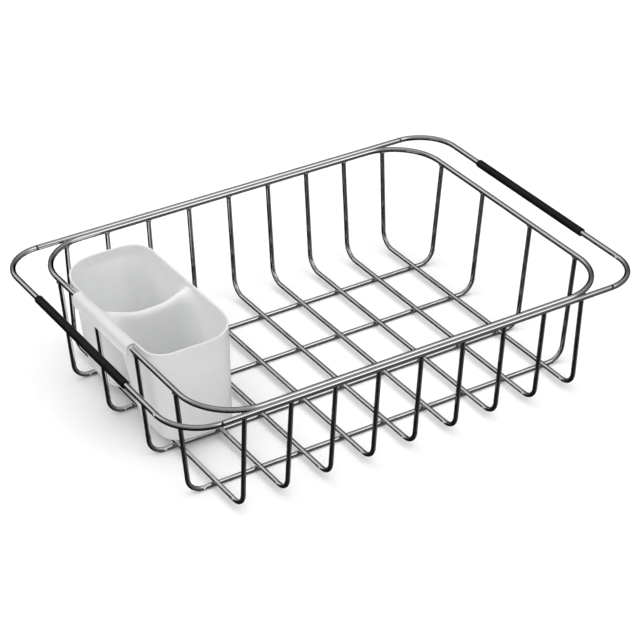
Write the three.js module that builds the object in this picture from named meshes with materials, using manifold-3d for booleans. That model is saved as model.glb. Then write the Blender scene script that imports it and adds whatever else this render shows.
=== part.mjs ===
// Over-sink dish drying rack: a chrome wire basket, two sliding arms with
// rubber sleeves, and a lift-out twin-cup cutlery holder.
// Millimetres. +X along the length, +Y to the back, +Z up. The origin is on
// the worktop, at the middle of the rack. Every round wire is a regular
// prism whose flats touch the true circle.
import * as THREE from 'three';
import { mergeVertices } from 'three/addons/utils/BufferGeometryUtils.js';
import Module from 'manifold-3d';

// Basket
const RIM_HALF_X = 244;          // centre line of the rim
const RIM_HALF_Y = 191;
const RIM_CORNER = 60;
const RIM_Z = 129;
const RIM_WIRE_R = 3;
const FLOOR_WIRE_R = 2.5;
const FLOOR_BEND = 18;
const CROSS_PITCH = 51;
const CROSS_COUNT = 9;
const CROSS_FOOT_Y = 181;        // where a leg would meet the floor unbent
const LONG_FOOT_X = 233;
const LONG_Y = [-124, -44, 44, 124];
const GAP = 0.3;                 // clearance kept between touching pieces
const LEG_TOP_GAP = 0.6;         // between a leg's top and the rim's underside

// Sliding arms
const GUIDE_HALF_LENGTH = 233.7;
const GUIDE_BORE_R = 2.3;
const ARM_BAR_X = 280;           // centre line of the end bar
const ARM_BEND = 46;
const ARM_LEG_R = 1.85;
const ARM_LEG_LENGTH = 210;
const BEND_MARGIN = 0.01;        // keeps a bend's end clear of the path's end
const ARM_LEG_ROOT = 5;          // length of leg set into the bar's end
const SLEEVE_LENGTH = 190;
const SLEEVE_Y = 6;              // the sleeves sit a little behind the middle
const SLEEVE_R = 4.6;
const SLEEVE_BORE_R = 3.42;

// Cutlery holder
const WALL = 2;
const HOLDER_TOP = 134.5;
const DIVIDER_TOP = 120;
const CUP_FLOOR = 15;            // underside of both cups
const CUP_CORNER = 22;
const CUP_BOTTOM_X = [-219, -136];
const CUP_TOP_X = [-234.5, -135];
const CUPS = [
  { bottomY: [-61, 21], topY: [-69.5, 35], topCorners: [22, 22, 22, 38] },
  { bottomY: [55, 135], topY: [41, 143.5], topCorners: [26, 40, 22, 22] },
];
const COLLAR_BOTTOM = { x: [-236, -135], y: [-71, 145], corners: [26, 42, 22, 40] };
const COLLAR_TOP = { x: [-240.3, -135.2], y: [-72, 144.5], corners: [26, 46, 22, 42] };
const LIP_Y = [-33, 84];
const LIP_DROP = 9.5;            // how far the lip hangs below the rim wire's middle
const LIP_CLEARANCE = 0.5;       // between the lip and the rim wire
const DRAIN_WIDTH = 4;
const DRAIN_LENGTH = 44;
const DRAIN_OFFSET = 20;         // from the middle of a cup's floor

const RIM_BAND = 0.6;            // half the band that the rim's bevels start from
const MERGE_DISTANCE = 1e-4;
const CORNER_STEPS = 3;          // half the flats around a holder's corner
const BEND_STEPS = 6;
const FLOOR_SIDES = 8;
const ROUND_SIDES = 12;
const SLEEVE_SIDES = 16;

const wasm = await Module();
wasm.setup();

const chrome = () => new THREE.MeshStandardMaterial({
  color: 0xd4d6d8, metalness: 1, roughness: 0.08 });
const rubber = () => new THREE.MeshStandardMaterial({
  color: 0x0c0c0d, metalness: 0, roughness: 0.75 });
const plastic = () => new THREE.MeshStandardMaterial({
  color: 0xe9eaeb, metalness: 0, roughness: 0.35 });

const rack = new THREE.Group();

function addPiece(name, geometry, material) {
  const mesh = new THREE.Mesh(geometry, material);
  mesh.name = name;
  rack.add(mesh);
  return mesh;
}

// A path that is sampled only at its own stations, so that straight runs
// take one step and bends take several.
class StationPath extends THREE.Curve {
  constructor(stations) {
    super();
    this.stations = stations;
  }

  get steps() {
    return this.stations.length - 1;
  }

  at(u) {
    return this.stations[Math.round(u * this.steps)];
  }

  getPointAt(u) {
    return this.at(u).point.clone();
  }

  getTangentAt(u) {
    return this.at(u).tangent.clone();
  }
}

// Straight runs between corners, each inner corner rounded by a bend.
function bentPath(corners, bendRadius) {
  const direction = (a, b) => b.clone().sub(a).normalize();
  const stations = [{
    point: corners[0], tangent: direction(corners[0], corners[1]) }];
  for (let i = 1; i < corners.length - 1; i += 1) {
    const into = direction(corners[i - 1], corners[i]);
    const out = direction(corners[i], corners[i + 1]);
    const turn = into.angleTo(out);
    const inward = out.clone().addScaledVector(into, -Math.cos(turn)).normalize();
    const start = corners[i].clone()
      .addScaledVector(into, -bendRadius * Math.tan(turn / 2));
    for (let k = 0; k <= BEND_STEPS; k += 1) {
      const angle = turn * k / BEND_STEPS;
      const point = start.clone()
        .addScaledVector(into, bendRadius * Math.sin(angle))
        .addScaledVector(inward, bendRadius * (1 - Math.cos(angle)));
      const tangent = into.clone().multiplyScalar(Math.cos(angle))
        .addScaledVector(inward, Math.sin(angle));
      stations.push({ point, tangent });
    }
  }
  const last = corners.length - 1;
  stations.push({
    point: corners[last], tangent: direction(corners[last - 1], corners[last]) });
  return new StationPath(stations);
}

// A regular polygon with a flat on each axis, its flats at the given radius.
function wireSection(radius, sides) {
  const outer = radius / Math.cos(Math.PI / sides);
  const points = [];
  for (let k = 0; k < sides; k += 1) {
    const angle = (k + 0.5) * 2 * Math.PI / sides;
    points.push(new THREE.Vector2(
      outer * Math.cos(angle), outer * Math.sin(angle)));
  }
  return new THREE.Shape(points);
}

function wire(corners, bendRadius, radius, sides) {
  const path = bentPath(corners, bendRadius);
  return new THREE.ExtrudeGeometry(
    wireSection(radius, sides), { steps: path.steps, extrudePath: path });
}

// A straight tube along the given axis, centred on the origin.
function tube(length, radius, bore, sides, axis) {
  const flat = Math.cos(Math.PI / sides);
  const half = length / 2;
  const corner = (r, y) => new THREE.Vector2(r / flat, y);
  const profile = [corner(bore, -half), corner(radius, -half),
    corner(radius, half), corner(bore, half), corner(bore, -half)];
  const geometry = new THREE.LatheGeometry(profile, sides);
  geometry.rotateY(Math.PI / sides);
  if (axis === 'x') geometry.rotateZ(-Math.PI / 2);
  return geometry;
}

const allCorners = (radius) => [radius, radius, radius, radius];

// A rectangle with rounded corners, as a shape, a hole or a path. The radii
// run counterclockwise from the back right corner.
function roundedRectangle(Kind, { x, y, corners: [a, b, c, d] }) {
  const path = new Kind();
  path.absarc(x[1] - a, y[1] - a, a, 0, Math.PI / 2);
  path.absarc(x[0] + b, y[1] - b, b, Math.PI / 2, Math.PI);
  path.absarc(x[0] + c, y[0] + c, c, Math.PI, Math.PI * 1.5);
  path.absarc(x[1] - d, y[0] + d, d, Math.PI * 1.5, Math.PI * 2);
  path.closePath();
  return path;
}

// The closed rim wire: a flat band between two rounded rectangles, bevelled
// on all four edges until its section is round.
function rimWire() {
  const bevel = RIM_WIRE_R - RIM_BAND;
  const outline = (Kind, grow) => roundedRectangle(Kind, {
    x: [-RIM_HALF_X - grow, RIM_HALF_X + grow],
    y: [-RIM_HALF_Y - grow, RIM_HALF_Y + grow],
    corners: allCorners(RIM_CORNER + grow) });
  const shape = outline(THREE.Shape, RIM_BAND);
  shape.holes.push(outline(THREE.Path, -RIM_BAND));
  const geometry = new THREE.ExtrudeGeometry(shape, {
    depth: 2 * RIM_BAND, curveSegments: 4,
    bevelSize: bevel, bevelThickness: bevel, bevelSegments: 2 });
  geometry.translate(0, 0, RIM_Z - RIM_BAND);
  return geometry;
}

// The rim's centre line runs around the corners, so an outer cross wire
// meets it a little nearer the middle.
function rimYAt(x) {
  const past = Math.max(0, Math.abs(x) - (RIM_HALF_X - RIM_CORNER));
  return RIM_HALF_Y - RIM_CORNER + Math.sqrt(RIM_CORNER ** 2 - past ** 2);
}

function buildBasket() {
  addPiece('rim_wire', rimWire(), chrome());
  const legTop = RIM_Z - RIM_WIRE_R - LEG_TOP_GAP;
  const longZ = FLOOR_WIRE_R;
  const crossZ = longZ + 2 * FLOOR_WIRE_R + GAP;
  for (let i = 0; i < CROSS_COUNT; i += 1) {
    const x = (i - (CROSS_COUNT - 1) / 2) * CROSS_PITCH;
    const topY = rimYAt(x);
    addPiece(`cross_wire_${i + 1}`, wire([
      new THREE.Vector3(x, -topY, legTop),
      new THREE.Vector3(x, -CROSS_FOOT_Y, crossZ),
      new THREE.Vector3(x, CROSS_FOOT_Y, crossZ),
      new THREE.Vector3(x, topY, legTop),
    ], FLOOR_BEND, FLOOR_WIRE_R, FLOOR_SIDES), chrome());
  }
  LONG_Y.forEach((y, i) => {
    addPiece(`long_wire_${i + 1}`, wire([
      new THREE.Vector3(-RIM_HALF_X, y, legTop),
      new THREE.Vector3(-LONG_FOOT_X, y, longZ),
      new THREE.Vector3(LONG_FOOT_X, y, longZ),
      new THREE.Vector3(RIM_HALF_X, y, legTop),
    ], FLOOR_BEND, FLOOR_WIRE_R, FLOOR_SIDES), chrome());
  });
}

// The guide tubes lie against the outside of the rim's long sides.
const GUIDE_Y = RIM_HALF_Y + 2 * RIM_WIRE_R + GAP;

function buildGuides() {
  [['front', -1], ['back', 1]].forEach(([side, sign]) => {
    const guide = addPiece(`guide_tube_${side}`, tube(
      2 * GUIDE_HALF_LENGTH, RIM_WIRE_R, GUIDE_BORE_R, ROUND_SIDES, 'x'), chrome());
    guide.position.set(0, sign * GUIDE_Y, RIM_Z);
  });
}

function toSolid(geometry) {
  const bare = geometry.clone();
  bare.deleteAttribute('normal');
  bare.deleteAttribute('uv');
  const merged = mergeVertices(bare, MERGE_DISTANCE);
  return new wasm.Manifold(new wasm.Mesh({
    numProp: 3,
    vertProperties: new Float32Array(merged.attributes.position.array),
    triVerts: new Uint32Array(merged.index.array) }));
}

function toGeometry(solid) {
  const mesh = solid.getMesh();
  const geometry = new THREE.BufferGeometry();
  geometry.setAttribute(
    'position', new THREE.BufferAttribute(mesh.vertProperties, mesh.numProp));
  geometry.setIndex(new THREE.BufferAttribute(mesh.triVerts, 1));
  geometry.computeVertexNormals();
  return geometry;
}

// One arm: a bent bar as thick as the guide tubes, with two thinner legs
// that run inside them.
function armGeometry(sign) {
  const shoulder = sign * (ARM_BAR_X - ARM_BEND);
  const at = (x, y) => new THREE.Vector3(x, y, RIM_Z);
  const bar = wire([
    at(shoulder, -GUIDE_Y), at(sign * ARM_BAR_X, -GUIDE_Y),
    at(sign * ARM_BAR_X, GUIDE_Y), at(shoulder, GUIDE_Y),
  ], ARM_BEND - BEND_MARGIN, RIM_WIRE_R, ROUND_SIDES);
  const leg = (y) => toSolid(wire([
    at(shoulder + sign * ARM_LEG_ROOT, y),
    at(shoulder - sign * ARM_LEG_LENGTH, y),
  ], 0, ARM_LEG_R, FLOOR_SIDES));
  return toGeometry(
    toSolid(bar).add(leg(-GUIDE_Y)).add(leg(GUIDE_Y)));
}

function buildArms() {
  [['left', -1], ['right', 1]].forEach(([side, sign]) => {
    addPiece(`${side}_arm`, armGeometry(sign), chrome());
    const sleeve = addPiece(`${side}_sleeve`, tube(
      SLEEVE_LENGTH, SLEEVE_R, SLEEVE_BORE_R, SLEEVE_SIDES, 'y'), rubber());
    sleeve.position.set(sign * ARM_BAR_X, SLEEVE_Y, RIM_Z);
  });
}

const inset = (section, by) => ({
  x: [section.x[0] + by, section.x[1] - by],
  y: [section.y[0] + by, section.y[1] - by],
  corners: section.corners.map((radius) => radius - by) });

// A solid whose rounded-rectangle section changes evenly from the bottom one
// to the top one.
function tapered(bottom, top, z) {
  const ring = (section, height) => roundedRectangle(THREE.Path, section)
    .getPoints(CORNER_STEPS).map((point) => [point.x, point.y, height]);
  return wasm.Manifold.hull([...ring(bottom, z[0]), ...ring(top, z[1])]);
}

function cup({ bottomY, topY, topCorners }, by, z) {
  const bottom = { x: CUP_BOTTOM_X, y: bottomY, corners: allCorners(CUP_CORNER) };
  const top = { x: CUP_TOP_X, y: topY, corners: topCorners };
  return tapered(inset(bottom, by), inset(top, by), z);
}

const collar = (by, z) => tapered(
  inset(COLLAR_BOTTOM, by), inset(COLLAR_TOP, by), z);

// The lip runs out from the holder's wall, over the rim wire and down.
function lip() {
  const inner = RIM_WIRE_R + LIP_CLEARANCE;
  const outer = inner + WALL;
  const foot = RIM_Z - LIP_DROP;
  const root = COLLAR_TOP.x[0] + WALL / 2;
  const shape = new THREE.Shape();
  shape.moveTo(root, RIM_Z + inner);
  shape.lineTo(root, RIM_Z + outer);
  shape.lineTo(-RIM_HALF_X, RIM_Z + outer);
  shape.absarc(-RIM_HALF_X, RIM_Z, outer, Math.PI / 2, Math.PI, false);
  shape.lineTo(-RIM_HALF_X - outer, foot);
  shape.lineTo(-RIM_HALF_X - inner, foot);
  shape.absarc(-RIM_HALF_X, RIM_Z, inner, Math.PI, Math.PI / 2, true);
  const geometry = new THREE.ExtrudeGeometry(shape, {
    depth: LIP_Y[1] - LIP_Y[0], curveSegments: 3, bevelEnabled: false });
  geometry.rotateX(Math.PI / 2);
  geometry.translate(0, LIP_Y[1], 0);
  return toSolid(geometry);
}

// Two drain slots through each cup's floor, either side of its middle.
function drains({ bottomY }) {
  const x = (CUP_BOTTOM_X[0] + CUP_BOTTOM_X[1]) / 2;
  const y = (bottomY[0] + bottomY[1]) / 2;
  const slot = (offset) => {
    const geometry = new THREE.BoxGeometry(DRAIN_WIDTH, DRAIN_LENGTH, 4 * WALL);
    geometry.translate(x + offset, y, CUP_FLOOR);
    return toSolid(geometry);
  };
  return slot(-DRAIN_OFFSET).add(slot(DRAIN_OFFSET));
}

function holderGeometry() {
  let outside = collar(0, [DIVIDER_TOP - WALL, HOLDER_TOP]).add(lip());
  let inside = collar(WALL, [DIVIDER_TOP, HOLDER_TOP]);
  CUPS.forEach((place) => {
    outside = outside.add(cup(place, 0, [CUP_FLOOR, DIVIDER_TOP]));
    inside = inside.add(cup(place, WALL, [CUP_FLOOR + WALL, DIVIDER_TOP + 1]))
      .add(drains(place));
  });
  return toGeometry(outside.subtract(inside));
}

buildBasket();
buildGuides();
buildArms();
addPiece('cutlery_holder', holderGeometry(), plastic());

export default rack;
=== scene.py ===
"""An over-sink dish drying rack: chrome wire basket, two sliding arms with
rubber sleeves, and a lift-out twin-cup cutlery holder.

Metres, in the frame's own axes: +X along the rack, +Y to the back, +Z up.
"""
import math

import bmesh
import bpy
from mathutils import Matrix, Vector


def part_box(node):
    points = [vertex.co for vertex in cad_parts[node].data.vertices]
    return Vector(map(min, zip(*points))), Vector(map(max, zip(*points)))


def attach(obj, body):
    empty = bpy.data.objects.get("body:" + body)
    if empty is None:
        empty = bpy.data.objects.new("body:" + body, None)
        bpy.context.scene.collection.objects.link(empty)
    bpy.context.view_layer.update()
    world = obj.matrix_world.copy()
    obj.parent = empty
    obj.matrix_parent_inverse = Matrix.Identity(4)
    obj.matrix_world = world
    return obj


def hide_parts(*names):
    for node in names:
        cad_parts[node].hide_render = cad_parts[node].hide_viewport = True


MM = 0.001
X_AXIS, Y_AXIS, Z_AXIS = Vector((1, 0, 0)), Vector((0, 1, 0)), Vector((0, 0, 1))

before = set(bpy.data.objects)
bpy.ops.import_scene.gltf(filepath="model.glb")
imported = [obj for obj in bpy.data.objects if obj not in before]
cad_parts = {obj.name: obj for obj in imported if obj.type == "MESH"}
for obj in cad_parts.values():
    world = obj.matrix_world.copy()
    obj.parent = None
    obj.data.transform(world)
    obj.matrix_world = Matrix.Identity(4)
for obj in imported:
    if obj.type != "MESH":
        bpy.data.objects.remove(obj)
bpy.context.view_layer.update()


# ---------------------------------------------------------------- sizes

def middle(node):
    """The middle of a node's box at rest."""
    low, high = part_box(node)
    return (low + high) / 2


rim_low, rim_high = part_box("rim_wire")
RIM_R = (rim_high.z - rim_low.z) / 2
RIM_Z = middle("rim_wire").z
RIM_X = rim_high.x - RIM_R
RIM_Y = rim_high.y - RIM_R
RIM_CORNER = 60 * MM

cross_low, cross_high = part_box("cross_wire_5")
FLOOR_R = (cross_high.x - cross_low.x) / 2
CROSS_Z = cross_low.z + FLOOR_R
LONG_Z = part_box("long_wire_1")[0].z + FLOOR_R
FLOOR_BEND = 18 * MM
CROSS_LEAN = 10 * MM          # how far a leg's foot stands in from its top
LONG_LEAN = 11 * MM
WELD_DEPTH = 0.8 * MM         # how far a leg's end is sunk into the rim
LEG_TOP = RIM_Z - RIM_R + WELD_DEPTH

GUIDE_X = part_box("guide_tube_front")[1].x
GUIDE_Y = middle("guide_tube_back").y
GUIDE_BORE_R = 2.3 * MM
GUIDE_EDGE, GUIDE_BORE_EDGE = 0.35 * MM, 0.12 * MM     # rounding of the ends

ARM_X = -middle("left_sleeve").x
ARM_BEND = 46 * MM
ARM_BEND_DRAWN = 0.999 * ARM_BEND      # starts a hair past the shoulder
ARM_SHOULDER = ARM_X - ARM_BEND        # where the bar steps down to its leg
ARM_LEG_R = 1.85 * MM
ARM_LEG_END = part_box("right_arm")[0].x

sleeve_low, sleeve_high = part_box("left_sleeve")
SLEEVE_R = (sleeve_high.z - sleeve_low.z) / 2
SLEEVE_BORE_R = 3.42 * MM
SLEEVE_EDGE, SLEEVE_BORE_EDGE = 0.55 * MM, 0.15 * MM

CROSS_NODES = [f"cross_wire_{i}" for i in range(1, 10)]
LONG_NODES = [f"long_wire_{i}" for i in range(1, 5)]


# ---------------------------------------------------------------- meshes

WIRE_SIDES, BAR_SIDES, TUBE_SIDES = 28, 32, 40
LONG_RUN = 12                 # a straight run this many radii long is held
NO_TURN = 0.9999              # cosine between two stations that lie in line
SAME_RADIUS = 0.0001 * MM


def make_object(name, vertices, faces, smooth=True):
    mesh = bpy.data.meshes.new(name)
    mesh.from_pydata([tuple(v) for v in vertices], [], faces)
    mesh.validate()
    work = bmesh.new()
    work.from_mesh(mesh)
    bmesh.ops.recalc_face_normals(work, faces=work.faces)
    work.to_mesh(mesh)
    work.free()
    mesh.polygons.foreach_set("use_smooth", [smooth] * len(mesh.polygons))
    obj = bpy.data.objects.new(name, mesh)
    bpy.context.scene.collection.objects.link(obj)
    return obj


def bend_path(corners, bend, bend_steps=14):
    """Points and tangents along straight runs whose corners are rounded. A
    middle run's start is listed twice, which ends the bend's shading there."""
    path = []
    previous = corners[0]
    for i in range(1, len(corners) - 1):
        into = (corners[i] - corners[i - 1]).normalized()
        out = (corners[i + 1] - corners[i]).normalized()
        turn = into.angle(out)
        inward = (out - into * math.cos(turn)).normalized()
        start = corners[i] - into * bend * math.tan(turn / 2)
        path.append((previous, into))
        for k in range(bend_steps + 1):
            angle = turn * k / bend_steps
            point = (start + into * bend * math.sin(angle)
                     + inward * bend * (1 - math.cos(angle)))
            tangent = into * math.cos(angle) + inward * math.sin(angle)
            path.append((point, tangent))
        previous = path.pop()[0]
        path.append((previous, out))
    path.append((corners[-1], (corners[-1] - corners[-2]).normalized()))
    return path


def hold_straights(path, radii, closed):
    """Adds stations near both ends of each long straight run, so that the
    shading of a bend doesn't spread along it."""
    stations = list(zip(path, radii))
    following = stations[1:] + stations[:1] if closed else stations[1:]
    held = []
    for here, there in zip(stations, following):
        (a, along), radius = here
        (b, along_b), radius_b = there
        held.append(here)
        run = b - a
        straight = (along.dot(along_b) > NO_TURN
                    and abs(radius - radius_b) < SAME_RADIUS)
        if straight and run.length > LONG_RUN * radius:
            inset = run.normalized() * radius
            held.append(((a + inset, along), radius))
            held.append(((b - inset, along), radius))
    if not closed:
        held.append(stations[-1])
    return [station for station, _ in held], [radius for _, radius in held]


def sweep(name, path, radii, plane_normal, sides=WIRE_SIDES, closed=False):
    """A round wire along a flat path, with its own radius at each station."""
    path, radii = hold_straights(path, radii, closed)
    vertices = []
    for (point, tangent), radius in zip(path, radii):
        across = tangent.cross(plane_normal).normalized()
        for k in range(sides):
            angle = 2 * math.pi * k / sides
            vertices.append(point + across * radius * math.cos(angle)
                            + plane_normal * radius * math.sin(angle))
    rings = len(path)
    faces = []
    for r in range(rings if closed else rings - 1):
        here = r * sides
        there = ((r + 1) % rings) * sides
        for k in range(sides):
            n = (k + 1) % sides
            faces.append((here + k, here + n, there + n, there + k))
    if not closed:
        faces.append(tuple(range(sides)))
        faces.append(tuple(range((rings - 1) * sides, rings * sides)))
    return make_object(name, vertices, faces)


def with_ends(path, radius, end):
    """Shapes both ends of a wire: end lists (distance in, radius scale), from
    the very end inward."""
    first, direction = path[0]
    last, last_direction = path[-1]
    stations = [(first + direction * d, direction) for d, _ in end]
    radii = [radius * s for _, s in end]
    stations += path[1:-1]
    radii += [radius] * (len(path) - 2)
    for d, s in reversed(end):
        stations.append((last - last_direction * d, last_direction))
        radii.append(radius * s)
    return stations, radii


def revolve(name, profile, axis, centre, sides=TUBE_SIDES):
    """A closed ring profile of (along, radius) turned about an axis."""
    vertices = []
    for along, radius in profile:
        for k in range(sides):
            angle = 2 * math.pi * k / sides
            c, s = radius * math.cos(angle), radius * math.sin(angle)
            offset = (along, c, s) if axis == "x" else (c, along, s)
            vertices.append(centre + Vector(offset))
    rings = len(profile)
    faces = []
    for r in range(rings):
        here, there = r * sides, ((r + 1) % rings) * sides
        for k in range(sides):
            n = (k + 1) % sides
            faces.append((here + k, here + n, there + n, there + k))
    return make_object(name, vertices, faces)


def fillet(centre, radius, start, end, steps=5):
    """Points on an arc, as (along, radius) pairs; angles in degrees."""
    points = []
    for k in range(steps + 1):
        angle = math.radians(start + (end - start) * k / steps)
        points.append((centre[0] + radius * math.cos(angle),
                       centre[1] + radius * math.sin(angle)))
    return points


def tube_profile(low, high, outer, bore, edge, inner_edge):
    """A tube's wall with its four edges rounded."""
    outer_y, inner_y = outer - edge, bore + inner_edge
    return (fillet((low + edge, outer_y), edge, 180, 90)
            + fillet((high - edge, outer_y), edge, 90, 0)
            + fillet((high - inner_edge, inner_y), inner_edge, 0, -90)
            + fillet((low + inner_edge, inner_y), inner_edge, -90, -180))


def merge_meshes(name, parts):
    """Joins (vertices, faces) lists into one object."""
    vertices, faces = [], []
    for part_vertices, part_faces in parts:
        base = len(vertices)
        vertices += part_vertices
        faces += [tuple(base + i for i in face) for face in part_faces]
    return make_object(name, vertices, faces)


def nugget(centre, half, rings=8, sides=16):
    """A rounded bead of weld metal with the given half sizes."""
    vertices = [centre + Vector((0, 0, half.z))]
    for r in range(1, rings):
        polar = math.pi * r / rings
        for k in range(sides):
            angle = 2 * math.pi * k / sides
            vertices.append(centre + Vector((
                half.x * math.sin(polar) * math.cos(angle),
                half.y * math.sin(polar) * math.sin(angle),
                half.z * math.cos(polar))))
    vertices.append(centre - Vector((0, 0, half.z)))
    last = len(vertices) - 1
    faces = []
    for k in range(sides):
        n = (k + 1) % sides
        faces.append((0, 1 + k, 1 + n))
        faces.append((last, last - sides + n, last - sides + k))
        for r in range(rings - 2):
            a, b = 1 + r * sides, 1 + (r + 1) * sides
            faces.append((a + k, b + k, b + n, a + n))
    return vertices, faces


# ---------------------------------------------------------------- basket

# A leg flares a little where it is fused to the rim: distance in from its end,
# and radius scale.
FLARED_END = ((0.0, 1.55), (0.5 * MM, 1.36), (1.0 * MM, 1.2), (1.6 * MM, 1.08),
              (2.4 * MM, 1.02), (3.4 * MM, 1.0))
RIM_STEPS = 28                # stations round each of the rim's corners
RIM_SEAM_X = -60 * MM         # the rim's own butt weld, on its front side
# Distance along the rim from the middle of that weld, and radius scale.
RIM_SEAM = ((-1.2 * MM, 1.0), (-0.6 * MM, 1.02), (0.0, 1.045),
            (0.6 * MM, 1.02), (1.2 * MM, 1.0))
# Half sizes of the welds between crossing wires, and of the braze runs that
# hold the guide tubes to the rim.
CROSSING_WELD = Vector((2.15, 2.15, 1.25)) * MM
GUIDE_TACK = Vector((5.5, 1.3, 0.9)) * MM
TACK_PITCH = 102 * MM
TACK_DROP = 1.7 * MM          # below the middle of the rim wire


def place(piece, body, slot, material, *nodes):
    """Gives a piece its material and body, and the nodes it replaces. Its slot
    argument is not used.
    """
    piece.data.materials.clear()
    piece.data.materials.append(material)
    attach(piece, body)
    if nodes:
        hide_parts(*nodes)
    return piece


def rim_y_at(x):
    """How far out the rim wire's middle is at x, its corners included."""
    past = max(0.0, abs(x) - (RIM_X - RIM_CORNER))
    return RIM_Y - RIM_CORNER + math.sqrt(RIM_CORNER ** 2 - past ** 2)


def rim_wire():
    """The closed rim, with the faint ring of its own butt weld."""
    path, radii = [], []
    for quarter, (sx, sy) in enumerate(((1, 1), (-1, 1), (-1, -1), (1, -1))):
        centre = Vector((sx * (RIM_X - RIM_CORNER),
                         sy * (RIM_Y - RIM_CORNER), RIM_Z))
        for k in range(RIM_STEPS + 1):
            angle = math.pi / 2 * (quarter + k / RIM_STEPS)
            out = Vector((math.cos(angle), math.sin(angle), 0))
            path.append((centre + out * RIM_CORNER, Z_AXIS.cross(out)))
            radii.append(RIM_R)
        if quarter == 2:
            seam = Vector((RIM_SEAM_X, -RIM_Y, RIM_Z))
            for offset, swell in RIM_SEAM:
                path.append((seam + X_AXIS * offset, X_AXIS))
                radii.append(RIM_R * swell)
    return sweep("rim_wire_formed", path, radii, Z_AXIS, BAR_SIDES, closed=True)


def floor_wire(node, corners, plane_normal):
    """A wire of the floor, with a leg up to the rim at each end."""
    path, radii = with_ends(bend_path(corners, FLOOR_BEND), FLOOR_R, FLARED_END)
    return sweep(node + "_formed", path, radii, plane_normal)


def cross_wire(node):
    x = middle(node).x
    top_y, foot_y = rim_y_at(x), RIM_Y - CROSS_LEAN
    corners = [Vector((x, -top_y, LEG_TOP)), Vector((x, -foot_y, CROSS_Z)),
               Vector((x, foot_y, CROSS_Z)), Vector((x, top_y, LEG_TOP))]
    return floor_wire(node, corners, X_AXIS)


def long_wire(node):
    y = middle(node).y
    foot_x = RIM_X - LONG_LEAN
    corners = [Vector((-RIM_X, y, LEG_TOP)), Vector((-foot_x, y, LONG_Z)),
               Vector((foot_x, y, LONG_Z)), Vector((RIM_X, y, LEG_TOP))]
    return floor_wire(node, corners, Y_AXIS)


def crossing_welds():
    """Fused metal squeezed out where a cross wire sits on a long wire."""
    height = (CROSS_Z + LONG_Z) / 2
    parts = [nugget(Vector((middle(c).x, middle(n).y, height)), CROSSING_WELD)
             for c in CROSS_NODES for n in LONG_NODES]
    return merge_meshes("crossing_welds", parts)


def guide_tacks():
    """Short braze runs under the seam between the rim and each guide tube."""
    seam_y = (RIM_Y + GUIDE_Y) / 2
    parts = []
    for sign in (-1, 1):
        for step in (-1.5, -0.5, 0.5, 1.5):
            centre = Vector((step * TACK_PITCH, sign * seam_y, RIM_Z - TACK_DROP))
            parts.append(nugget(centre, GUIDE_TACK))
    return merge_meshes("guide_tacks", parts)


def guide_tube(node):
    profile = tube_profile(-GUIDE_X, GUIDE_X, RIM_R, GUIDE_BORE_R,
                           GUIDE_EDGE, GUIDE_BORE_EDGE)
    return revolve(node + "_drawn", profile, "x", middle(node))


def build_basket(chrome, weld):
    """The rim, the floor wires and their welds, and the two guide tubes."""
    place(rim_wire(), "basket", "chrome_wire", chrome, "rim_wire")
    for node in CROSS_NODES:
        place(cross_wire(node), "basket", "chrome_wire", chrome, node)
    for node in LONG_NODES:
        place(long_wire(node), "basket", "chrome_wire", chrome, node)
    place(crossing_welds(), "basket", "chrome_wire", weld)
    place(guide_tacks(), "basket", "chrome_wire", weld)
    for node in ("guide_tube_front", "guide_tube_back"):
        place(guide_tube(node), "basket", "chrome_wire", chrome, node)


# ---------------------------------------------------------------- arms

ARM_BEND_STEPS = 28
# Distance from the rack's middle and radius, from a leg's tip to the bar.
ARM_LEG = ((ARM_LEG_END, 0.72 * ARM_LEG_R), (ARM_LEG_END + 0.5 * MM, ARM_LEG_R),
           (ARM_SHOULDER - 0.02 * MM, ARM_LEG_R), (ARM_SHOULDER, 0.9 * RIM_R),
           (ARM_SHOULDER + 0.18 * MM, RIM_R))


def arm(side, sign):
    """The bent bar with its two thinner legs, as one swept form."""
    def at(x, y):
        return Vector((sign * x, y, RIM_Z))

    corners = [at(ARM_SHOULDER, -GUIDE_Y), at(ARM_X, -GUIDE_Y),
               at(ARM_X, GUIDE_Y), at(ARM_SHOULDER, GUIDE_Y)]
    bar = bend_path(corners, ARM_BEND_DRAWN, ARM_BEND_STEPS)[1:-1]
    out = X_AXIS * sign
    path = [(at(x, -GUIDE_Y), out) for x, _ in ARM_LEG] + bar
    path += [(at(x, GUIDE_Y), -out) for x, _ in reversed(ARM_LEG)]
    leg_radii = [radius for _, radius in ARM_LEG]
    radii = leg_radii + [RIM_R] * len(bar) + leg_radii[::-1]
    return sweep(f"{side}_arm_bent", path, radii, Z_AXIS, BAR_SIDES)


def sleeve(side):
    node = f"{side}_sleeve"
    low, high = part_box(node)
    half = (high.y - low.y) / 2
    profile = tube_profile(-half, half, SLEEVE_R, SLEEVE_BORE_R,
                           SLEEVE_EDGE, SLEEVE_BORE_EDGE)
    return revolve(node + "_moulded", profile, "y", middle(node))


def build_arms(chrome, rubber):
    """The two sliding arms, each with its sleeve."""
    for side, sign in (("left", -1), ("right", 1)):
        body = f"{side}_arm"
        place(arm(side, sign), body, "chrome_wire", chrome, body)
        place(sleeve(side), body, "sleeve_rubber", rubber, f"{side}_sleeve")


# ---------------------------------------------------------------- holder

HOLDER_LOW, HOLDER_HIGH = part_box("cutlery_holder")
WALL = 2 * MM
CUP_FLOOR = HOLDER_LOW.z
HOLDER_TOP = HOLDER_HIGH.z
# The cups' two sides, at the floor and at the divider's height.
CUP_BOTTOM_X = (-219 * MM, -136 * MM)
CUP_TOP_X = (-234.5 * MM, -135 * MM)
CUP_CORNER = 22 * MM
DIVIDER_Z = 118 * MM          # underside of the bridge between the cups
DIVIDER_Y = 38 * MM
CUP_HEIGHT = DIVIDER_Z - CUP_FLOOR
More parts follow.
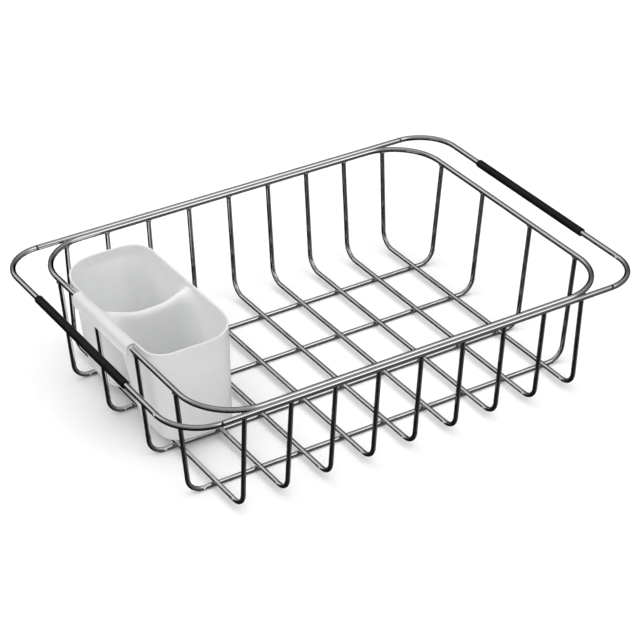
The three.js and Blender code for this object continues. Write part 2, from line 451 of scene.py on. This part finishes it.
# The front cup and the back one: the Y of the free side and of the side at
# the divider, each at the floor and at the divider's height, and the radii
# of the free side's two corners, at the rim wire and inside the basket.
CUPS = (
    {"free": (-61 * MM, -69.5 * MM), "inner": (21 * MM, 35 * MM),
     "corners": (22 * MM, 38 * MM)},
    {"free": (135 * MM, 143.5 * MM), "inner": (55 * MM, 41 * MM),
     "corners": (40 * MM, 26 * MM)},
)
# The collar's outline at the divider's height and at the top edge: its two
# sides in X, its free ends in Y at the front cup and at the back one, and the
# radii of its corners there, listed as the cups' are.
COLLAR_X = ((-236 * MM, -240.3 * MM), (-135 * MM, -135.2 * MM))
COLLAR_Y = ((-71 * MM, -72 * MM), (145 * MM, 144.5 * MM))
COLLAR_CORNERS = ((22 * MM, 41 * MM), (45 * MM, 26 * MM))
COLLAR_ROWS = (121 * MM, 124 * MM, 129 * MM, 132.5 * MM, HOLDER_TOP)
LIP_ROW = 3                   # the collar's row that the lip starts from

# The divider's ends rise towards the side walls: how much, over what distance
# from the divider in Y and from the cups' middle in X, from what height up,
# and over what share of the width the divider stays level.
SADDLE_RISE = 12 * MM
SADDLE_REACH = 24 * MM
SADDLE_HALF_X = 50 * MM
SADDLE_FOOT = 96 * MM
SADDLE_LEVEL = 0.25

LIP_Y = (-33 * MM, 84 * MM)
LIP_START_X = -242 * MM       # where the lip's underside leaves the wall
LIP_BORE = 3.5 * MM           # the lip's inside curve, around the rim wire
LIP_ANGLES = (112.5, 135, 157.5, 180)
LIP_DROPS = (3.5 * MM, 7.5 * MM, 9.2 * MM)
LIP_TAPER = 0.012             # how much narrower each row of the drop is

DRAIN_R = 2 * MM
DRAIN_HALF = 20 * MM          # from a drain's middle to an end's centre
DRAIN_X = (-20 * MM, 20 * MM)
DRAIN_CUT = (-4 * MM, 6 * MM)     # below and above the cup's underside

# Columns of faces round a corner, along a cup's long and short sides, and
# from the divider to each end of the lip.
CORNER_STEPS = 6
LONG_STEPS = 7
SHORT_STEPS = 5
LIP_STEPS = (8, 6)
DRAIN_STEPS = 10
# A cup's rows: for the floor, the share of its outline and the lift; for the
# wall, the share of the way up its taper and the lift.
FLOOR_ROWS = ((0.3, 0.0), (0.65, 0.0), (0.86, 0.0), (0.95, 0.9 * MM))
WALL_ROWS = ((0.0, 3.2 * MM), (0.04, 5 * MM)) + tuple(
    (t, t * CUP_HEIGHT) for t in (0.25, 0.5, 0.75, 0.9, 0.97))


def mix(a, b, t):
    return a + (b - a) * t


def smooth(t):
    """Eases from 0 to 1."""
    return t * t * (3 - 2 * t)


def corner_arc(centre, radius, start, end, steps):
    """Points on an arc with a radius in X and one in Y; angles in degrees."""
    angles = [math.radians(start + (end - start) * k / steps)
              for k in range(steps + 1)]
    return [(centre[0] + radius[0] * math.cos(a),
             centre[1] + radius[1] * math.sin(a)) for a in angles]


def line(a, b, steps):
    """The points between a and b, without either."""
    return [(mix(a[0], b[0], k / steps), mix(a[1], b[1], k / steps))
            for k in range(1, steps)]


def cup_ring(x, free, inner, corners):
    """A cup's section, from the middle of one corner at the divider, round
    the free side to the other, then back along the divider side. The first
    list is the outer stretch and the second the divider stretch."""
    way = 1 if inner > free else -1
    low, high = x
    r, (rl, rh) = CUP_CORNER, corners

    def turn(cx, y, radius, start, end, steps):
        return corner_arc((cx, y), (radius, way * radius), start, end, steps)

    half = CORNER_STEPS // 2
    far = inner - way * r
    near_l, near_h = free + way * rl, free + way * rh
    outer = turn(low + r, far, r, 135, 180, half)
    outer += line((low, far), (low, near_l), LONG_STEPS)
    outer += turn(low + rl, near_l, rl, 180, 270, CORNER_STEPS)
    outer += line((low + rl, free), (high - rh, free), SHORT_STEPS)
    outer += turn(high - rh, near_h, rh, 270, 360, CORNER_STEPS)
    outer += line((high, near_h), (high, far), LONG_STEPS)
    outer += turn(high - r, far, r, 0, 45, half)
    back = turn(high - r, far, r, 45, 90, half)[1:]
    back += line((high - r, inner), (low + r, inner), SHORT_STEPS)
    back += turn(low + r, far, r, 90, 135, half)[:-1]
    return outer, back


def collar_ring(side, z):
    """Half of the collar's outline, from the divider round the free end and
    back, with one of its columns at the end of the lip."""
    t = (z - DIVIDER_Z) / (HOLDER_TOP - DIVIDER_Z)
    low, high = (mix(*x, t) for x in COLLAR_X)
    free = mix(*COLLAR_Y[side], t)
    rl, rh = COLLAR_CORNERS[side]
    way = 1 if DIVIDER_Y > free else -1
    near_l, near_h = free + way * rl, free + way * rh
    columns = CORNER_STEPS // 2 + LONG_STEPS
    lip_end, lip_steps = LIP_Y[side], LIP_STEPS[side]
    ring = [(low, DIVIDER_Y)]
    ring += line((low, DIVIDER_Y), (low, lip_end), lip_steps)
    ring += [(low, lip_end)]
    ring += line((low, lip_end), (low, near_l), columns - lip_steps)
    ring += corner_arc((low + rl, near_l), (rl, way * rl), 180, 270, CORNER_STEPS)
    ring += line((low + rl, free), (high - rh, free), SHORT_STEPS)
    ring += corner_arc((high - rh, near_h), (rh, way * rh), 270, 360, CORNER_STEPS)
    ring += line((high, near_h), (high, DIVIDER_Y), columns)
    ring += [(high, DIVIDER_Y)]
    return ring


def cup_section(cup, t):
    """The cup's outline at a height from 0, its floor, to 1, the divider."""
    x = [mix(CUP_BOTTOM_X[i], CUP_TOP_X[i], t) for i in (0, 1)]
    corners = [mix(CUP_CORNER, radius, t) for radius in cup["corners"]]
    return cup_ring(x, mix(*cup["free"], t), mix(*cup["inner"], t), corners)


class Sheet:
    """An open surface, built up from rows of vertices and the faces between
    them. A row is a list of vertex numbers."""

    def __init__(self):
        self.vertices = []
        self.faces = []

    def add(self, x, y, z):
        """Adds a vertex and returns its number."""
        self.vertices.append(Vector((x, y, z)))
        return len(self.vertices) - 1

    def row(self, points, z):
        return [self.add(x, y, z) for x, y in points]

    def join(self, a, b, closed=False):
        """Fills the strip between two rows with faces."""
        count = len(a)
        for i in range(count if closed else count - 1):
            n = (i + 1) % count
            self.faces.append((a[i], a[n], b[n], b[i]))


def floor_ring(outline, share):
    """The floor's outline, shrunk towards the floor's middle."""
    cx = sum(p[0] for p in outline) / len(outline)
    cy = sum(p[1] for p in outline) / len(outline)
    return [(mix(cx, x, share), mix(cy, y, share)) for x, y in outline]


def build_cup(sheet, cup):
    """Adds one cup and returns its top row as (outer part, divider part)."""
    outer, back = cup_section(cup, 0.0)
    rows = [sheet.row(floor_ring(outer + back, share), CUP_FLOOR + lift)
            for share, lift in FLOOR_ROWS]
    sheet.faces.append(tuple(rows[0]))
    for t, lift in WALL_ROWS:
        outer, back = cup_section(cup, t)
        rows.append(sheet.row(outer + back, CUP_FLOOR + lift))
    for below, above in zip(rows, rows[1:]):
        sheet.join(below, above, closed=True)
    count = len(outer)
    return rows[-1][:count], rows[-1][count:]


def build_divider(sheet, front, back):
    """The bridge over the gap between the cups. Returns its crest."""
    rows = []
    for outer, divider in (front, back):
        rows.append([outer[-1]] + divider + [outer[0]])
    crest = []
    for a, b in zip(*rows):
        x = (sheet.vertices[a].x + sheet.vertices[b].x) / 2
        crest.append(sheet.add(x, DIVIDER_Y, DIVIDER_Z))
    sheet.join(rows[0], crest)
    sheet.join(crest, rows[1])
    return crest


def build_collar(sheet, tops, crest):
    """The wall above the cups, up to its free edge. Returns the row that the
    lip starts from."""
    loops = []
    for z in COLLAR_ROWS:
        first = sheet.row(collar_ring(0, z), z)
        second = sheet.row(collar_ring(1, z)[1:-1], z)
        loops.append((first, [first[0]] + second + [first[-1]]))
    for side in (0, 1):
        sheet.join(tops[side][0], loops[0][side])
        for below, above in zip(loops[:LIP_ROW], loops[1:LIP_ROW + 1]):
            sheet.join(below[side], above[side])
        start = LIP_STEPS[side]
        sheet.join(loops[LIP_ROW][side][start:], loops[-1][side][start:])
    for end in (0, -1):
        corner = crest[-1] if end == 0 else crest[0]
        front, back = tops[0][0][end], tops[1][0][end]
        sheet.faces.append((front, corner, loops[0][0][end]))
        sheet.faces.append((corner, back, loops[0][0][end]))
    front_edge = loops[LIP_ROW][0][:LIP_STEPS[0] + 1]
    back_edge = loops[LIP_ROW][1][:LIP_STEPS[1] + 1]
    return list(reversed(front_edge)) + back_edge[1:]


def lift_saddle(sheet):
    """Lifts the ends of the divider, which rise to meet the side walls."""
    middle_x, brim = sum(CUP_TOP_X) / 2, COLLAR_ROWS[LIP_ROW]
    for v in sheet.vertices:
        if not SADDLE_FOOT < v.z < brim:
            continue
        near = max(0.0, 1 - abs(v.y - DIVIDER_Y) / SADDLE_REACH)
        out = abs(v.x - middle_x) / SADDLE_HALF_X
        beside = min(1.0, max(0.0, out - SADDLE_LEVEL) / (1 - SADDLE_LEVEL))
        if v.z < DIVIDER_Z:
            share = ((v.z - SADDLE_FOOT) / (DIVIDER_Z - SADDLE_FOOT)) ** 2
        else:
            share = (brim - v.z) / (brim - DIVIDER_Z)
        v.z += SADDLE_RISE * smooth(near) * smooth(beside) * share


def build_lip(sheet, edge):
    """The lip's underside: out from the wall, over the rim wire and down."""
    top = RIM_Z + LIP_BORE
    outline = [(LIP_START_X, top, 1), (-RIM_X, top, 1)]
    for angle in LIP_ANGLES:
        a = math.radians(angle)
        outline.append((-RIM_X + LIP_BORE * math.cos(a),
                        RIM_Z + LIP_BORE * math.sin(a), 1))
    for n, drop in enumerate(LIP_DROPS, start=1):
        outline.append((-RIM_X - LIP_BORE, RIM_Z - drop, 1 - LIP_TAPER * n))
    previous = edge
    middle_y = sum(LIP_Y) / 2
    for x, z, width in outline:
        row = []
        for i, v in enumerate(edge):
            y = sheet.vertices[v].y
            if i in (0, len(edge) - 1):
                y = middle_y + (y - middle_y) * width
            row.append(sheet.add(x, y, z))
        sheet.join(previous, row)
        previous = row


def drain_cutter(cup, offset):
    """A slot with round ends, for one of the drains in a cup's floor."""
    x = sum(CUP_BOTTOM_X) / 2 + offset
    y = (cup["free"][0] + cup["inner"][0]) / 2
    outline = []
    for cy, start in ((y + DRAIN_HALF, 0), (y - DRAIN_HALF, 180)):
        outline += corner_arc((x, cy), (DRAIN_R, DRAIN_R),
                              start, start + 180, DRAIN_STEPS)
    count = len(outline)
    vertices = [Vector((px, py, CUP_FLOOR + lift))
                for lift in DRAIN_CUT for px, py in outline]
    faces = [tuple(range(count)), tuple(range(count, 2 * count))]
    faces += [(i, (i + 1) % count, count + (i + 1) % count, count + i)
              for i in range(count)]
    return make_object("drain_cutter", vertices, faces, smooth=False)


def face_out(obj):
    """Turns the open sheet's normals away from the cups' insides."""
    mesh = obj.data
    front_wall = min(mesh.polygons, key=lambda p: p.center.y)
    if front_wall.normal.y > 0:
        mesh.flip_normals()


def apply_modifiers(obj):
    """Replaces the object's mesh by what its modifiers make of it."""
    depsgraph = bpy.context.evaluated_depsgraph_get()
    mesh = bpy.data.meshes.new_from_object(obj.evaluated_get(depsgraph))
    obj.modifiers.clear()
    obj.data = mesh


def cutlery_holder():
    """The moulding: an open sheet, rounded, given its wall and cut for the
    drains."""
    sheet = Sheet()
    tops = [build_cup(sheet, cup) for cup in CUPS]
    crest = build_divider(sheet, *tops)
    edge = build_collar(sheet, tops, crest)
    lift_saddle(sheet)
    build_lip(sheet, edge)
    obj = make_object("cutlery_holder_moulded", sheet.vertices, sheet.faces)
    face_out(obj)
    subdivide = obj.modifiers.new("smooth", "SUBSURF")
    subdivide.levels = subdivide.render_levels = 2
    thicken = obj.modifiers.new("wall", "SOLIDIFY")
    thicken.thickness = WALL
    thicken.offset = -1
    thicken.use_even_offset = True
    cutters = [drain_cutter(cup, x) for cup in CUPS for x in DRAIN_X]
    for cutter in cutters:
        cut = obj.modifiers.new("drain", "BOOLEAN")
        cut.operation = "DIFFERENCE"
        cut.solver = "EXACT"
        cut.object = cutter
    soften = obj.modifiers.new("edges", "BEVEL")
    soften.limit_method = "ANGLE"
    soften.angle_limit = math.radians(50)
    soften.width = 0.6 * MM
    soften.segments = 3
    apply_modifiers(obj)
    for cutter in cutters:
        bpy.data.objects.remove(cutter)
    # The rounding and the wall may pass the top edge by a hair.
    for v in obj.data.vertices:
        v.co.z = min(v.co.z, HOLDER_TOP)
    obj.data.polygons.foreach_set("use_smooth", [True] * len(obj.data.polygons))
    return obj


def build_holder(plastic):
    place(cutlery_holder(), "cutlery_holder", "holder_plastic", plastic,
          "cutlery_holder")


# ---------------------------------------------------------------- materials

class Nodes:
    """A short way to write a material's node tree. Its textures use the
    object's own coordinates, in metres."""

    def __init__(self, name):
        self.material = bpy.data.materials.new(name)
        self.material.use_nodes = True
        self.tree = self.material.node_tree
        self.shader = self.tree.nodes["Principled BSDF"]
        self.position = self.node("ShaderNodeTexCoord").outputs["Object"]

    def node(self, kind):
        return self.tree.nodes.new(kind)

    def link(self, output, target):
        self.tree.links.new(output, target)

    def noise(self, scale, detail, roughness=0.5):
        made = self.node("ShaderNodeTexNoise")
        made.inputs["Scale"].default_value = scale
        made.inputs["Detail"].default_value = detail
        made.inputs["Roughness"].default_value = roughness
        self.link(self.position, made.inputs["Vector"])
        return made.outputs["Fac"]

    def spread(self, value, low, high, start, end):
        """Maps start to end onto low to high."""
        made = self.node("ShaderNodeMapRange")
        made.inputs["From Min"].default_value = start
        made.inputs["From Max"].default_value = end
        made.inputs["To Min"].default_value = low
        made.inputs["To Max"].default_value = high
        self.link(value, made.inputs["Value"])
        return made.outputs["Result"]

    def colours(self, value, stops):
        """Colours along a value, from a list of (value, colour)."""
        made = self.node("ShaderNodeValToRGB")
        ramp = made.color_ramp
        for i, (at, colour) in enumerate(stops):
            stop = ramp.elements[i] if i < 2 else ramp.elements.new(at)
            stop.position = at
            stop.color = (*colour, 1.0)
        self.link(value, made.inputs["Fac"])
        return made.outputs["Color"]

    def bump(self, height, distance, strength):
        made = self.node("ShaderNodeBump")
        made.inputs["Distance"].default_value = distance
        made.inputs["Strength"].default_value = strength
        self.link(height, made.inputs["Height"])
        return made.outputs["Normal"]

    def set(self, socket, value):
        self.shader.inputs[socket].default_value = value

    def to(self, socket, output):
        self.link(output, self.shader.inputs[socket])


def chrome_material():
    """Bright nickel-chrome plate, with faint haze and a drawn wire's ripple."""
    m = Nodes("polished_chrome")
    haze = m.noise(45, 4, 0.6)
    m.to("Base Color", m.colours(haze, [(0.3, (0.80, 0.81, 0.83)),
                                        (0.7, (0.86, 0.87, 0.88))]))
    m.set("Metallic", 1.0)
    m.to("Roughness", m.spread(haze, 0.05, 0.12, 0.3, 0.7))
    m.to("Normal", m.bump(m.noise(160, 3), 0.03 * MM, 0.2))
    return m.material


def weld_material():
    """Plated-over weld metal: duller and lumpier than the wire."""
    m = Nodes("plated_weld")
    lumps = m.noise(900, 3, 0.6)
    m.to("Base Color", m.colours(lumps, [(0.3, (0.55, 0.56, 0.57)),
                                         (0.7, (0.76, 0.77, 0.78))]))
    m.set("Metallic", 1.0)
    m.to("Roughness", m.spread(lumps, 0.2, 0.42, 0.3, 0.7))
    m.to("Normal", m.bump(lumps, 0.3 * MM, 0.6))
    return m.material


def rubber_material():
    """Matt black rubber with a fine moulded grain and a little dust."""
    m = Nodes("black_rubber")
    grain = m.noise(2600, 3, 0.6)
    patches = m.noise(60, 4, 0.6)
    m.to("Base Color", m.colours(patches, [(0.35, (0.0035, 0.0035, 0.004)),
                                           (0.75, (0.008, 0.008, 0.0085))]))
    m.to("Roughness", m.spread(patches, 0.4, 0.52, 0.3, 0.7))
    m.set("Specular IOR Level", 0.28)
    m.to("Normal", m.bump(grain, 0.12 * MM, 0.5))
    return m.material


def plastic_material():
    """Frosted natural polypropylene: milky, soft-edged and fine-grained."""
    m = Nodes("frosted_plastic")
    cloud = m.noise(22, 3, 0.5)
    grain = m.noise(1900, 3, 0.6)
    m.to("Base Color", m.colours(cloud, [(0.3, (0.71, 0.715, 0.722)),
                                         (0.7, (0.75, 0.755, 0.76))]))
    m.to("Roughness", m.spread(cloud, 0.34, 0.44, 0.3, 0.7))
    m.set("Specular IOR Level", 0.4)
    m.set("Subsurface Weight", 0.8)
    m.set("Subsurface Radius", (1.0, 1.0, 1.0))
    m.set("Subsurface Scale", 9 * MM)
    m.to("Normal", m.bump(grain, 0.05 * MM, 0.35))
    return m.material


def floor_material():
    """Matt and nearly white, so that only the contact shadows show."""
    m = Nodes("pale_floor")
    shade = m.noise(3, 2)
    m.to("Base Color", m.colours(shade, [(0.3, (0.94, 0.94, 0.94)),
                                         (0.7, (0.955, 0.955, 0.955))]))
    m.set("Roughness", 0.85)
    m.set("Specular IOR Level", 0.1)
    return m.material


def backdrop_material():
    """Plain white, whatever the light."""
    m = Nodes("white_backdrop")
    m.set("Base Color", (0, 0, 0, 1))
    m.set("Emission Color", (1, 1, 1, 1))
    m.set("Emission Strength", 1.0)
    return m.material


# ---------------------------------------------------------------- studio

FLOOR_HALF = 30.0
FLOOR_DROP = 0.05 * MM        # keeps the floor clear of the wires' undersides
DOME_R = 29.0

OVERHEAD_LIGHT = 2.85
OVERHEAD_ANGLE = math.radians(110)
OVERHEAD_TILT = (math.radians(6), math.radians(-18), 0)

CAMERA_AZIMUTH = math.radians(32.31)
CAMERA_ELEVATION = math.radians(31.82)
CAMERA_DISTANCE = 2.4604
CAMERA_TARGET = Vector((11.9, 18.4, 50)) * MM
CAMERA_LENS, CAMERA_SENSOR = 127.7, 36

# The soft boxes and dark sides around the rack: where each one is seen from
# the rack, how wide it is in degrees from its middle to its full and its
# faded edge, and how much light it adds or takes away.
PANELS = (
    ("front soft box", (0.454, -0.58, 0.675), 8, 24, 1.05),
    ("low right", (0.80, -0.45, -0.5), 15, 50, 0.09),
    ("back left", (-0.40, 0.72, 0.57), 8, 28, 0.42),
    ("back right", (0.63, 0.72, 0.25), 8, 36, -0.15),
)
# The grey of the surroundings, from straight below at 0 to straight above at 1.
SKY = ((0.0, 0.010), (0.49, 0.012), (0.54, 0.05), (0.62, 0.14), (0.75, 0.25),
       (0.90, 0.33), (1.0, 0.37))


def build_floor():
    """A pale floor, with a white backdrop dome far behind it."""
    corners = [Vector((sx * FLOOR_HALF, sy * FLOOR_HALF, 0))
               for sx, sy in ((-1, -1), (1, -1), (1, 1), (-1, 1))]
    floor = make_object("floor", corners, [(0, 1, 2, 3)])
    floor.location.z = -FLOOR_DROP
    floor.data.materials.append(floor_material())
    floor.visible_glossy = False
    work = bmesh.new()
    bmesh.ops.create_uvsphere(work, u_segments=48, v_segments=24, radius=DOME_R)
    mesh = bpy.data.meshes.new("backdrop")
    work.to_mesh(mesh)
    work.free()
    dome = bpy.data.objects.new("backdrop", mesh)
    bpy.context.scene.collection.objects.link(dome)
    mesh.materials.append(backdrop_material())
    dome.visible_diffuse = dome.visible_glossy = False
    dome.visible_transmission = dome.visible_shadow = False


def build_world():
    """What the polished wires reflect: a bright soft box high in front, a
    grey ceiling and back, and dark low sides."""
    world = bpy.data.worlds.new("studio")
    world.use_nodes = True
    tree = world.node_tree
    link = tree.links.new
    direction = tree.nodes.new("ShaderNodeTexCoord").outputs["Generated"]
    split = tree.nodes.new("ShaderNodeSeparateXYZ")
    link(direction, split.inputs["Vector"])
    height = tree.nodes.new("ShaderNodeMapRange")
    height.inputs["From Min"].default_value = -1.0
    link(split.outputs["Z"], height.inputs["Value"])
    ramp = tree.nodes.new("ShaderNodeValToRGB")
    for i, (at, grey) in enumerate(SKY):
        stop = (ramp.color_ramp.elements[i] if i < 2
                else ramp.color_ramp.elements.new(at))
        stop.position = at
        stop.color = (grey, grey, grey, 1.0)
    link(height.outputs["Result"], ramp.inputs["Fac"])
    light = ramp.outputs["Color"]
    for name, towards, full, faded, strength in PANELS:
        near = tree.nodes.new("ShaderNodeVectorMath")
        near.name = name
        near.operation = "DOT_PRODUCT"
        near.inputs[1].default_value = Vector(towards).normalized()
        link(direction, near.inputs[0])
        fade = tree.nodes.new("ShaderNodeMapRange")
        fade.interpolation_type = "SMOOTHSTEP"
        fade.inputs["From Min"].default_value = math.cos(math.radians(faded))
        fade.inputs["From Max"].default_value = math.cos(math.radians(full))
        fade.inputs["To Max"].default_value = strength
        link(near.outputs["Value"], fade.inputs["Value"])
        total = tree.nodes.new("ShaderNodeVectorMath")
        total.operation = "ADD"
        link(light, total.inputs[0])
        link(fade.outputs["Result"], total.inputs[1])
        light = total.outputs["Vector"]
    link(light, tree.nodes["Background"].inputs["Color"])
    bpy.context.scene.world = world


def build_lights():
    """A wide overhead soft light, kept out of the wires' reflections."""
    data = bpy.data.lights.new("overhead", "SUN")
    data.energy = OVERHEAD_LIGHT
    data.angle = OVERHEAD_ANGLE
    light = bpy.data.objects.new("overhead", data)
    light.rotation_euler = OVERHEAD_TILT
    light.visible_glossy = False
    bpy.context.scene.collection.objects.link(light)


def build_camera():
    """A long lens, from the front left and above."""
    level = math.cos(CAMERA_ELEVATION)
    forward = Vector((math.sin(CAMERA_AZIMUTH) * level,
                      math.cos(CAMERA_AZIMUTH) * level,
                      -math.sin(CAMERA_ELEVATION)))
    data = bpy.data.cameras.new("camera")
    data.sensor_width = CAMERA_SENSOR
    data.lens = CAMERA_LENS
    camera = bpy.data.objects.new("camera", data)
    camera.location = CAMERA_TARGET - forward * CAMERA_DISTANCE
    camera.rotation_euler = forward.to_track_quat("-Z", "Y").to_euler()
    bpy.context.scene.collection.objects.link(camera)
    bpy.context.scene.camera = camera


build_camera()
build_world()
build_lights()
build_floor()
bpy.context.scene.view_settings.view_transform = "Standard"

chrome = chrome_material()
build_basket(chrome, weld_material())
build_arms(chrome, rubber_material())
build_holder(plastic_material())
